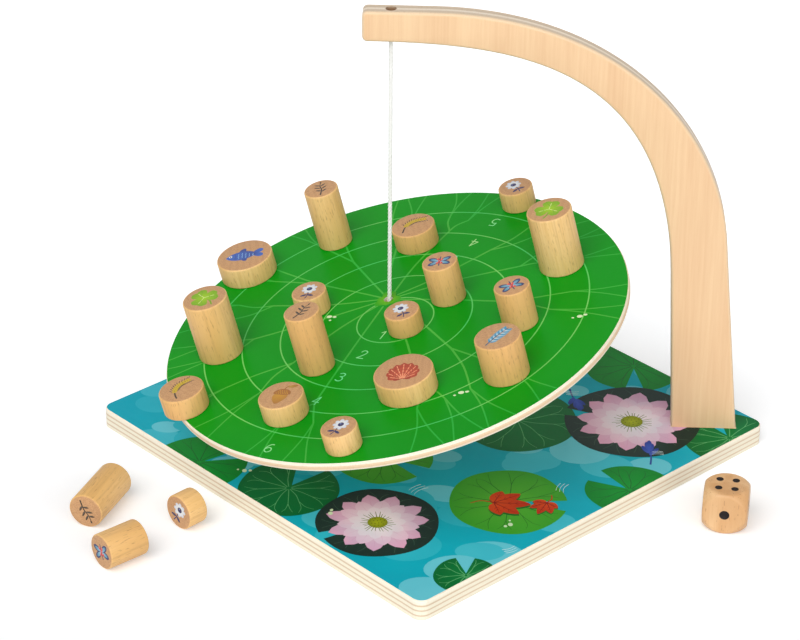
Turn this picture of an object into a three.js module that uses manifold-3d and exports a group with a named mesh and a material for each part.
// Balance game: a square board carries a tall hooked arm, and a round board hangs from one cord at
// the arm's tip and leans. Wooden pegs of three widths and three heights stand on the round board,
// and a die and a few fallen pegs lie on the table.
//
// Millimetres, +Z up. The origin is the middle of the square board's underside, the face that the
// game stands on. The board's edges run along X and Y, and the arm stands on its +X +Y corner, in the
// plane of the board's diagonal.

import * as THREE from "three";
import { mergeVertices } from "three/addons/utils/BufferGeometryUtils.js";
import Module from "manifold-3d";

const wasm = await Module();
wasm.setup();

// Driving dimensions of the square board and its printed sheet.
const boardSide = 250;
const boardThickness = 11;
const boardCornerRadius = 6;
const boardEase = 0.6;
const sheetThickness = 0.3;

// Driving dimensions of the arm, seen from its side: u runs along the diagonal, v up from the sheet.
const armThickness = 11;
const armEase = 1.5;
const footInset = 16;
const footWidth = 34;
const armHeight = 233;
const tipDepth = 16;
const tipCornerRadius = 3;
const outerBendHeight = 110;
const innerBendHeight = 88;
const outerTaper = 11;
const innerTaper = 4.5;
const outerRiseShare = 0.5;
const outerRunShare = 0.62;
const innerRiseShare = 0.93;
const innerRunShare = 0.5;
const tipFlatShare = 0.18;
const pocketDepth = 3;

// Driving dimensions of the cord, its knots and the hole at the arm's tip.
const cordDiameter = 2;
const cordHoleDiameter = 3.2;
const cordInset = 14.2;
const knotSeatDiameter = 5.6;
const knotSeatDepth = 9;
const knotSeatSlope = 1;
const upperKnotDiameter = 4.4;
const lowerKnotDiameter = 7.2;
const cordSides = 8;
const cordStepDiameters = 2.5;

// Driving dimensions of the round board: its size, how high it hangs, how it leans, and which way.
// The cord's hole lies beside the rings' middle, as shares of the radius down the lean and across it.
const discDiameter = 244;
const discRise = 67.3;
const discHoleShare = [-0.016, -0.177];
const discThickness = 4;
const discEase = 0.5;
const discHoleDiameter = 5;
const discSheetHoleDiameter = 6;
const postClearance = 27.8;
const leanDegrees = 13.95;
const leanHeadingDegrees = -118.1;

// Driving dimensions of the pegs, the die and the screws.
const pegWidths = { thin: 18.5, medium: 23.5, wide: 30.5 };
const pegHeights = { short: 11.5, middle: 22.5, tall: 34 };
const pegEase = 0.8;
const dieSide = 23;
const dieBallShare = 1.36;
const pipDiameter = 3.8;
const acePipDiameter = 5.2;
const pipSpacing = 8.2;
const pipDepth = 0.7;
const screwDiameter = 3.5;
const screwHeadDiameter = 7;
const screwHeadDepth = 2.2;
const screwLength = 25;
const screwSpacing = 17;
const screwSink = 0.4;
const screwPointLength = 3;
const recessLength = 3.6;
const recessWidth = 0.9;
const recessDepth = 1.2;

// Clearances.
const seatGap = 0.3;
const glueGap = 0.1;
const pocketGap = 0.25;
const screwGap = 0.25;
const cordPivotGap = 1.6;
const cutOverrun = 1;

// Facets.
const arcSteps = 16;
const cornerSteps = 5;
const roundSteps = 28;
const holeSteps = 16;
const discSteps = 72;
const easeSteps = 2;
const knotSteps = 12;
const ballSteps = 20;
const pipSteps = 8;

// Places of the pegs that stand on the round board, as shares of its radius: first down the lean,
// then across it.
const standingPegShares = [
  { width: "thin", height: "tall", share: [0.072, -0.782] },
  { width: "thin", height: "tall", share: [0.383, 0.151] },
  { width: "thin", height: "middle", share: [-0.249, -0.026] },
  { width: "thin", height: "middle", share: [-0.46, 0.342] },
  { width: "thin", height: "short", share: [0.292, -0.294] },
  { width: "thin", height: "short", share: [-0.024, 0.1] },
  { width: "thin", height: "short", share: [-0.734, -0.571] },
  { width: "thin", height: "short", share: [0.422, 0.777] },
  { width: "medium", height: "tall", share: [0.729, -0.206] },
  { width: "medium", height: "tall", share: [-0.745, 0.022] },
  { width: "medium", height: "middle", share: [-0.3, 0.67] },
  { width: "medium", height: "short", share: [-0.248, -0.539] },
  { width: "medium", height: "short", share: [0.582, 0.417] },
  { width: "medium", height: "short", share: [0.95, 0.12] },
  { width: "wide", height: "short", share: [0.48, -0.765] },
  { width: "wide", height: "short", share: [0.089, 0.548] },
];

// Places of what lies on the table, as shares of the board's side from its middle, with the
// heading of a peg's printed end.
const lyingPegShares = [
  { width: "thin", height: "tall", share: [-0.232, -0.708], heading: -64 },
  { width: "thin", height: "middle", share: [-0.061, -0.791], heading: -93 },
  { width: "thin", height: "short", share: [-0.074, -0.61], heading: -88 },
];
const diePlaceShares = [0.654, 0.203];
const dieTurnDegrees = 37;

// Derived sizes.
const sheetTop = boardThickness + sheetThickness;
const boardDiagonal = boardSide * Math.SQRT1_2;
const footOuter = boardDiagonal - footInset;
const footInner = footOuter - footWidth;
const discRadius = discDiameter / 2;
const discHoleX = discHoleShare[0] * discRadius;
const discHoleY = discHoleShare[1] * discRadius;
const cordLine = footInner - postClearance - discRadius;
const tipEnd = cordLine - cordInset;
const armReach = footOuter - tipEnd;
const armUnderside = armHeight - tipDepth;
const cordRadius = cordDiameter / 2;
const hangPoint = new THREE.Vector3(cordLine * Math.SQRT1_2, cordLine * Math.SQRT1_2, 0);
const swingPivot = hangPoint.clone().setZ(sheetTop + armUnderside);
const tiltPivot = hangPoint.clone().setZ(sheetTop + discRise);

const wood = new THREE.Color(0.86, 0.66, 0.42);
const paleWood = new THREE.Color(0.95, 0.8, 0.6);
const white = new THREE.Color(0.93, 0.93, 0.91);

const finishes = {
  plywood: { color: paleWood, roughness: 0.6, metalness: 0 },
  peg: { color: wood, roughness: 0.55, metalness: 0 },
  pond: { color: new THREE.Color(0.1, 0.5, 0.55), roughness: 0.45, metalness: 0 },
  leaf: { color: new THREE.Color(0.08, 0.55, 0.15), roughness: 0.45, metalness: 0 },
  cord: { color: white, roughness: 0.85, metalness: 0 },
  steel: { color: new THREE.Color(0.7, 0.7, 0.68), roughness: 0.35, metalness: 1 },
};

/** A named mesh in one of the finishes above. */
function piece(name, geometry, finish) {
  const mesh = new THREE.Mesh(geometry, new THREE.MeshStandardMaterial(finishes[finish]));
  mesh.name = name;
  return mesh;
}

/** A closed three.js geometry as a solid that can be joined and cut. */
function toSolid(geometry) {
  const bare = geometry.clone();
  bare.deleteAttribute("normal");
  bare.deleteAttribute("uv");
  const merged = mergeVertices(bare);
  const corners = merged.index.array;
  const triangles = [];
  for (let i = 0; i < corners.length; i += 3) {
    const [a, b, c] = [corners[i], corners[i + 1], corners[i + 2]];
    if (a !== b && b !== c && c !== a) {
      triangles.push(a, b, c);
    }
  }
  const mesh = new wasm.Mesh({
    numProp: 3,
    vertProperties: merged.attributes.position.array,
    triVerts: Uint32Array.from(triangles),
  });
  return new wasm.Manifold(mesh);
}

/** A solid as a three.js geometry again. */
function toGeometry(solid) {
  const mesh = solid.getMesh();
  const geometry = new THREE.BufferGeometry();
  geometry.setAttribute("position", new THREE.BufferAttribute(mesh.vertProperties, mesh.numProp));
  geometry.setIndex(new THREE.BufferAttribute(mesh.triVerts, 1));
  geometry.computeVertexNormals();
  return geometry;
}

/** The first geometry with each of the others cut out of it. */
function cut(geometry, cutters) {
  let solid = toSolid(geometry);
  for (const cutter of cutters) {
    solid = solid.subtract(toSolid(cutter));
  }
  return toGeometry(solid);
}

/** A turned solid about Z from [radius, height] pairs that start and end on the axis. */
function turned(profile, steps) {
  const points = profile.map(([radius, height]) => new THREE.Vector2(radius, height));
  return new THREE.LatheGeometry(points, steps).rotateX(Math.PI / 2);
}

/** A square outline with rounded corners, centred on the origin. */
function roundedSquare(side, radius) {
  const half = side / 2;
  const inner = half - radius;
  const shape = new THREE.Shape();
  shape.moveTo(half, -inner);
  shape.absarc(inner, inner, radius, 0, Math.PI / 2, false);
  shape.absarc(-inner, inner, radius, Math.PI / 2, Math.PI, false);
  shape.absarc(-inner, -inner, radius, Math.PI, (3 * Math.PI) / 2, false);
  shape.absarc(inner, -inner, radius, (3 * Math.PI) / 2, 2 * Math.PI, false);
  shape.closePath();
  return shape;
}

/** The corners of the arm's foot on the board, widened by a clearance. */
function footCorners(gap) {
  const middle = (footOuter + footInner) / 2;
  const halfLength = footWidth / 2 + gap;
  const halfWidth = armThickness / 2 + gap;
  const corners = [[1, 1], [-1, 1], [-1, -1], [1, -1]];
  const turn = new THREE.Matrix4().makeRotationZ(Math.PI / 4);
  return corners.map(([along, across]) => {
    const corner = new THREE.Vector3(middle + along * halfLength, across * halfWidth, 0);
    corner.applyMatrix4(turn);
    return new THREE.Vector2(corner.x, corner.y);
  });
}

/** The places of the two screws in the arm's foot, as distances along the diagonal. */
function screwPlaces() {
  const middle = (footOuter + footInner) / 2;
  return [
    { name: "foot_screw_inner", along: middle - screwSpacing / 2 },
    { name: "foot_screw_outer", along: middle + screwSpacing / 2 },
  ];
}

/** The square board, with the arm's pocket above and countersunk screw holes below. */
function makeBaseBoard() {
  const board = new THREE.ExtrudeGeometry(roundedSquare(boardSide, boardCornerRadius), {
    depth: boardThickness - 2 * boardEase,
    bevelThickness: boardEase,
    bevelSize: boardEase,
    bevelOffset: -boardEase,
    bevelSegments: 1,
    curveSegments: cornerSteps,
  }).translate(0, 0, boardEase);
  const pocket = new THREE.ExtrudeGeometry(new THREE.Shape(footCorners(pocketGap)), {
    depth: pocketDepth + cutOverrun,
    bevelEnabled: false,
  }).translate(0, 0, boardThickness - pocketDepth);
  const holeRadius = screwDiameter / 2 + screwGap;
  const headRadius = screwHeadDiameter / 2 + screwGap;
  const coneDepth = screwHeadDepth + screwGap;
  const holes = screwPlaces().map(({ along }) =>
    turned([
      [0, -cutOverrun],
      [headRadius, -cutOverrun],
      [headRadius, screwSink],
      [holeRadius, screwSink + coneDepth],
      [holeRadius, boardThickness],
      [0, boardThickness],
    ], holeSteps).translate(along * Math.SQRT1_2, along * Math.SQRT1_2, 0));
  return cut(board, [pocket, ...holes]);
}

/** The printed sheet on the square board, cut out round the arm's foot. */
function makeBaseSheet() {
  const inset = 2 * boardEase;
  const outline = roundedSquare(boardSide - inset, boardCornerRadius - boardEase);
  outline.holes.push(new THREE.Path(footCorners(pocketGap).reverse()));
  return new THREE.ExtrudeGeometry(outline, {
    depth: sheetThickness,
    bevelEnabled: false,
    curveSegments: cornerSteps,
  }).translate(0, 0, boardThickness);
}

/** The arm's side outline: a tapering post that bends over into a slim level tip. */
function armOutline() {
  const outerBend = footOuter - outerTaper;
  const innerBend = footInner - innerTaper;
  const tipFlat = tipEnd + armReach * tipFlatShare;
  const outerRise = (armHeight - outerBendHeight) * outerRiseShare;
  const outerRun = (outerBend - tipFlat) * outerRunShare;
  const innerRise = (armUnderside - innerBendHeight) * innerRiseShare;
  const innerRun = (innerBend - tipEnd) * innerRunShare;
  const outerSlope = outerTaper / outerBendHeight;
  const innerSlope = innerTaper / innerBendHeight;
  const round = tipCornerRadius;
  const shape = new THREE.Shape();
  shape.moveTo(footOuter, -pocketDepth - sheetThickness);
  shape.lineTo(footOuter, 0);
  shape.lineTo(outerBend, outerBendHeight);
  shape.bezierCurveTo(
    outerBend - outerRise * outerSlope, outerBendHeight + outerRise,
    tipFlat + outerRun, armHeight,
    tipFlat, armHeight,
  );
  shape.lineTo(tipEnd + round, armHeight);
  shape.quadraticCurveTo(tipEnd, armHeight, tipEnd, armHeight - round);
  shape.lineTo(tipEnd, armUnderside + round);
  shape.quadraticCurveTo(tipEnd, armUnderside, tipEnd + round, armUnderside);
  shape.bezierCurveTo(
    tipEnd + innerRun, armUnderside,
    innerBend - innerRise * innerSlope, innerBendHeight + innerRise,
    innerBend, innerBendHeight,
  );
  shape.lineTo(footInner, 0);
  shape.lineTo(footInner, -pocketDepth - sheetThickness);
  shape.closePath();
  return shape;
}

/** The arm, with the cord's hole and knot seat in its tip and pilot holes in its foot. */
function makeArm() {
  const arm = new THREE.ExtrudeGeometry(armOutline(), {
    depth: armThickness - 2 * armEase,
    bevelThickness: armEase,
    bevelSize: armEase,
    bevelOffset: -armEase,
    bevelSegments: easeSteps,
    curveSegments: arcSteps,
  }).translate(0, 0, armEase - armThickness / 2).rotateX(Math.PI / 2);
  const holeRadius = cordHoleDiameter / 2;
  const seatRadius = knotSeatDiameter / 2;
  const seatFoot = armHeight - knotSeatDepth;
  const tipHole = turned([
    [0, armUnderside - cutOverrun],
    [holeRadius, armUnderside - cutOverrun],
    [holeRadius, seatFoot],
    [seatRadius, seatFoot + (seatRadius - holeRadius) / knotSeatSlope],
    [seatRadius, armHeight + cutOverrun],
    [0, armHeight + cutOverrun],
  ], holeSteps).translate(cordLine, 0, 0);
  const pilotRadius = screwDiameter / 2 + screwGap;
  const pilotTop = screwSink + screwLength + screwGap - sheetTop;
  const pilotFoot = -pocketDepth - sheetThickness - cutOverrun;
  const pilots = screwPlaces().map(({ along }) =>
    turned([
      [0, pilotFoot],
      [pilotRadius, pilotFoot],
      [pilotRadius, pilotTop],
      [0, pilotTop],
    ], holeSteps).translate(along, 0, 0));
  return cut(arm, [tipHole, ...pilots]);
}

/** A countersunk wood screw, point up, with a cross recess in its head. */
function makeScrew() {
  const headRadius = screwHeadDiameter / 2;
  const shankRadius = screwDiameter / 2;
  const screw = turned([
    [0, 0],
    [headRadius, 0],
    [shankRadius, screwHeadDepth],
    [shankRadius, screwLength - screwPointLength],
    [0, screwLength],
  ], holeSteps);
  const slots = [0, Math.PI / 2].map((turn) =>
    new THREE.BoxGeometry(recessLength, recessWidth, 2 * recessDepth).rotateZ(turn));
  return cut(screw, slots);
}

/** A knot that bulges evenly round the cord, from its lower to its upper point on the axis. */
function knotProfile(diameter) {
  const radius = diameter / 2;
  const profile = [];
  for (let i = 0; i <= knotSteps; i += 1) {
    const angle = (Math.PI * i) / knotSteps - Math.PI / 2;
    profile.push([radius * Math.cos(angle), radius * Math.sin(angle)]);
  }
  profile[0][0] = 0;
  profile[knotSteps][0] = 0;
  return profile;
}

/** The upper knot in its seat, with the cord's end that runs down through the arm's tip. */
function makeUpperKnot() {
  const radius = upperKnotDiameter / 2;
  const holeRadius = cordHoleDiameter / 2;
  const rest = ((radius + seatGap) * Math.hypot(1, knotSeatSlope) - holeRadius) / knotSeatSlope;
  const centre = armHeight - knotSeatDepth + rest;
  const stemFoot = armUnderside + seatGap / 2;
  const ball = knotProfile(upperKnotDiameter).filter(([x, z]) => z > 0 || x > cordRadius);
  const profile = [
    [0, stemFoot],
    [cordRadius, stemFoot],
    ...ball.map(([x, z]) => [x, z + centre]),
  ];
  return turned(profile, knotSteps);
}

/** The hanging stretch of the cord, from the arm's underside into the round board's hole. */
function makeHangingCord() {
  const top = swingPivot.clone();
  top.z -= seatGap / 2;
  const foot = tiltPivot.clone();
  foot.z -= cordPivotGap;
  const section = new THREE.Shape();
  for (let i = 0; i < cordSides; i += 1) {
    const angle = (2 * Math.PI * i) / cordSides;
    const x = cordRadius * Math.cos(angle);
    const y = cordRadius * Math.sin(angle);
    if (i === 0) {
      section.moveTo(x, y);
    } else {
      section.lineTo(x, y);
    }
  }
  section.closePath();
  const steps = Math.ceil(top.distanceTo(foot) / (cordDiameter * cordStepDiameters));
  return new THREE.ExtrudeGeometry(section, {
    steps,
    bevelEnabled: false,
    extrudePath: new THREE.LineCurve3(foot, top),
  });
}

/** A round plate with the cord's hole in it, from a profile that starts and ends on the axis. */
function makeRoundPlate(profile, holeDiameter, low, high) {
  const hole = turned([
    [0, low - cutOverrun],
    [holeDiameter / 2, low - cutOverrun],
    [holeDiameter / 2, high + cutOverrun],
    [0, high + cutOverrun],
  ], holeSteps).translate(discHoleX, discHoleY, 0);
  return cut(turned(profile, discSteps), [hole]);
}

/** The round board, with eased edges. */
function makeDiscBoard(face) {
  const profile = [
    [0, -face],
    [discRadius - discEase, -face],
    [discRadius, discEase - face],
    [discRadius, face - discEase],
    [discRadius - discEase, face],
    [0, face],
  ];
  return makeRoundPlate(profile, discHoleDiameter, -face, face);
}

/** The printed sheet on the round board. */
function makeDiscSheet(low) {
  const outer = discRadius - discEase;
  const high = low + sheetThickness;
  return makeRoundPlate([[0, low], [outer, low], [outer, high], [0, high]], discSheetHoleDiameter, low, high);
}

/** A peg standing on its foot, with eased edges at both ends. */
function makePeg(width, height) {
  const radius = width / 2;
  return turned([
    [0, 0],
    [radius - pegEase, 0],
    [radius, pegEase],
    [radius, height - pegEase],
    [radius - pegEase, height],
    [0, height],
  ], roundSteps);
}

/** The places of the pips on one face of the die, in steps of the pip spacing. */
const pipPatterns = {
  1: [[0, 0]],
  2: [[-1, -1], [1, 1]],
  3: [[-1, -1], [0, 0], [1, 1]],
  4: [[-1, -1], [-1, 1], [1, -1], [1, 1]],
  5: [[-1, -1], [-1, 1], [0, 0], [1, -1], [1, 1]],
  6: [[-1, -1], [-1, 0], [-1, 1], [1, -1], [1, 0], [1, 1]],
};

/** How many pips each face has, and the turns about X and Y that bring its top there. */
const dieFaces = [
  { pips: 4, turnX: 0, turnY: 0 },
  { pips: 3, turnX: Math.PI, turnY: 0 },
  { pips: 1, turnX: Math.PI / 2, turnY: 0 },
  { pips: 6, turnX: -Math.PI / 2, turnY: 0 },
  { pips: 2, turnX: 0, turnY: Math.PI / 2 },
  { pips: 5, turnX: 0, turnY: -Math.PI / 2 },
];

/** A die rounded by a ball, with a shallow drilled pip for each count. */
function makeDie() {
  const half = dieSide / 2;
  const cube = toSolid(new THREE.BoxGeometry(dieSide, dieSide, dieSide));
  const ballRadius = half * dieBallShare;
  let die = cube.intersect(toSolid(new THREE.SphereGeometry(ballRadius, ballSteps, knotSteps)));
  for (const { pips, turnX, turnY } of dieFaces) {
    const radius = (pips === 1 ? acePipDiameter : pipDiameter) / 2;
    const cutter = [
      [0, half - pipDepth],
      [radius, half - pipDepth / 2],
      [radius, half + cutOverrun],
      [0, half + cutOverrun],
    ];
    for (const [across, along] of pipPatterns[pips]) {
      const pip = turned(cutter, pipSteps);
      pip.translate((across * pipSpacing) / 2, (along * pipSpacing) / 2, 0);
      pip.rotateX(turnX).rotateY(turnY);
      die = die.subtract(toSolid(pip));
    }
  }
  return toGeometry(die);
}

/** Counts the pegs of each size, so that each gets its own number. */
const pegCounts = {};
function pegName(width, height) {
  const kind = `${width}_${height}_peg`;
  pegCounts[kind] = (pegCounts[kind] ?? 0) + 1;
  return `${kind}_${pegCounts[kind]}`;
}

const game = new THREE.Group();

game.add(piece("base_board", makeBaseBoard(), "plywood"));
game.add(piece("base_sheet", makeBaseSheet(), "pond"));

const armFrame = new THREE.Group();
armFrame.position.z = sheetTop;
armFrame.rotation.z = Math.PI / 4;
armFrame.add(piece("arm", makeArm(), "plywood"));
for (const { name, along } of screwPlaces()) {
  const screw = piece(name, makeScrew(), "steel");
  screw.position.set(along, 0, screwSink - sheetTop);
  armFrame.add(screw);
}
const upperKnot = piece("upper_knot", makeUpperKnot(), "cord");
upperKnot.position.x = cordLine;
armFrame.add(upperKnot);
game.add(armFrame);

game.add(piece("hanging_cord", makeHangingCord(), "cord"));

// The round board's own frame: its origin is the middle of the board, X runs down the lean and Z out
// of the printed face.
const disc = new THREE.Group();
disc.rotation.order = "ZYX";
disc.rotation.z = THREE.MathUtils.degToRad(leanHeadingDegrees);
disc.rotation.y = THREE.MathUtils.degToRad(leanDegrees);
disc.position.set(-discHoleX, -discHoleY, 0).applyEuler(disc.rotation).add(tiltPivot);

const discFace = discThickness / 2;
const discSheetFoot = discFace + glueGap;
const pegFoot = discSheetFoot + sheetThickness + seatGap;
disc.add(piece("disc_board", makeDiscBoard(discFace), "plywood"));
disc.add(piece("disc_sheet", makeDiscSheet(discSheetFoot), "leaf"));

const lowerKnot = piece("lower_knot", turned(knotProfile(lowerKnotDiameter), knotSteps), "cord");
lowerKnot.position.set(discHoleX, discHoleY, -discFace - seatGap - lowerKnotDiameter / 2);
disc.add(lowerKnot);

for (const { width, height, share } of standingPegShares) {
  const geometry = makePeg(pegWidths[width], pegHeights[height]);
  const peg = piece(pegName(width, height), geometry, "peg");
  peg.position.set(share[0] * discRadius, share[1] * discRadius, pegFoot);
  disc.add(peg);
}
game.add(disc);

for (const { width, height, share, heading } of lyingPegShares) {
  const length = pegHeights[height];
  const geometry = makePeg(pegWidths[width], length).translate(0, 0, -length / 2);
  const peg = piece(pegName(width, height), geometry.rotateY(Math.PI / 2), "peg");
  peg.position.set(share[0] * boardSide, share[1] * boardSide, pegWidths[width] / 2);
  peg.rotation.z = THREE.MathUtils.degToRad(heading);
  game.add(peg);
}

const die = piece("die", makeDie(), "peg");
die.position.set(diePlaceShares[0] * boardSide, diePlaceShares[1] * boardSide, dieSide / 2);
die.rotation.z = THREE.MathUtils.degToRad(dieTurnDegrees);
game.add(die);

export default game;
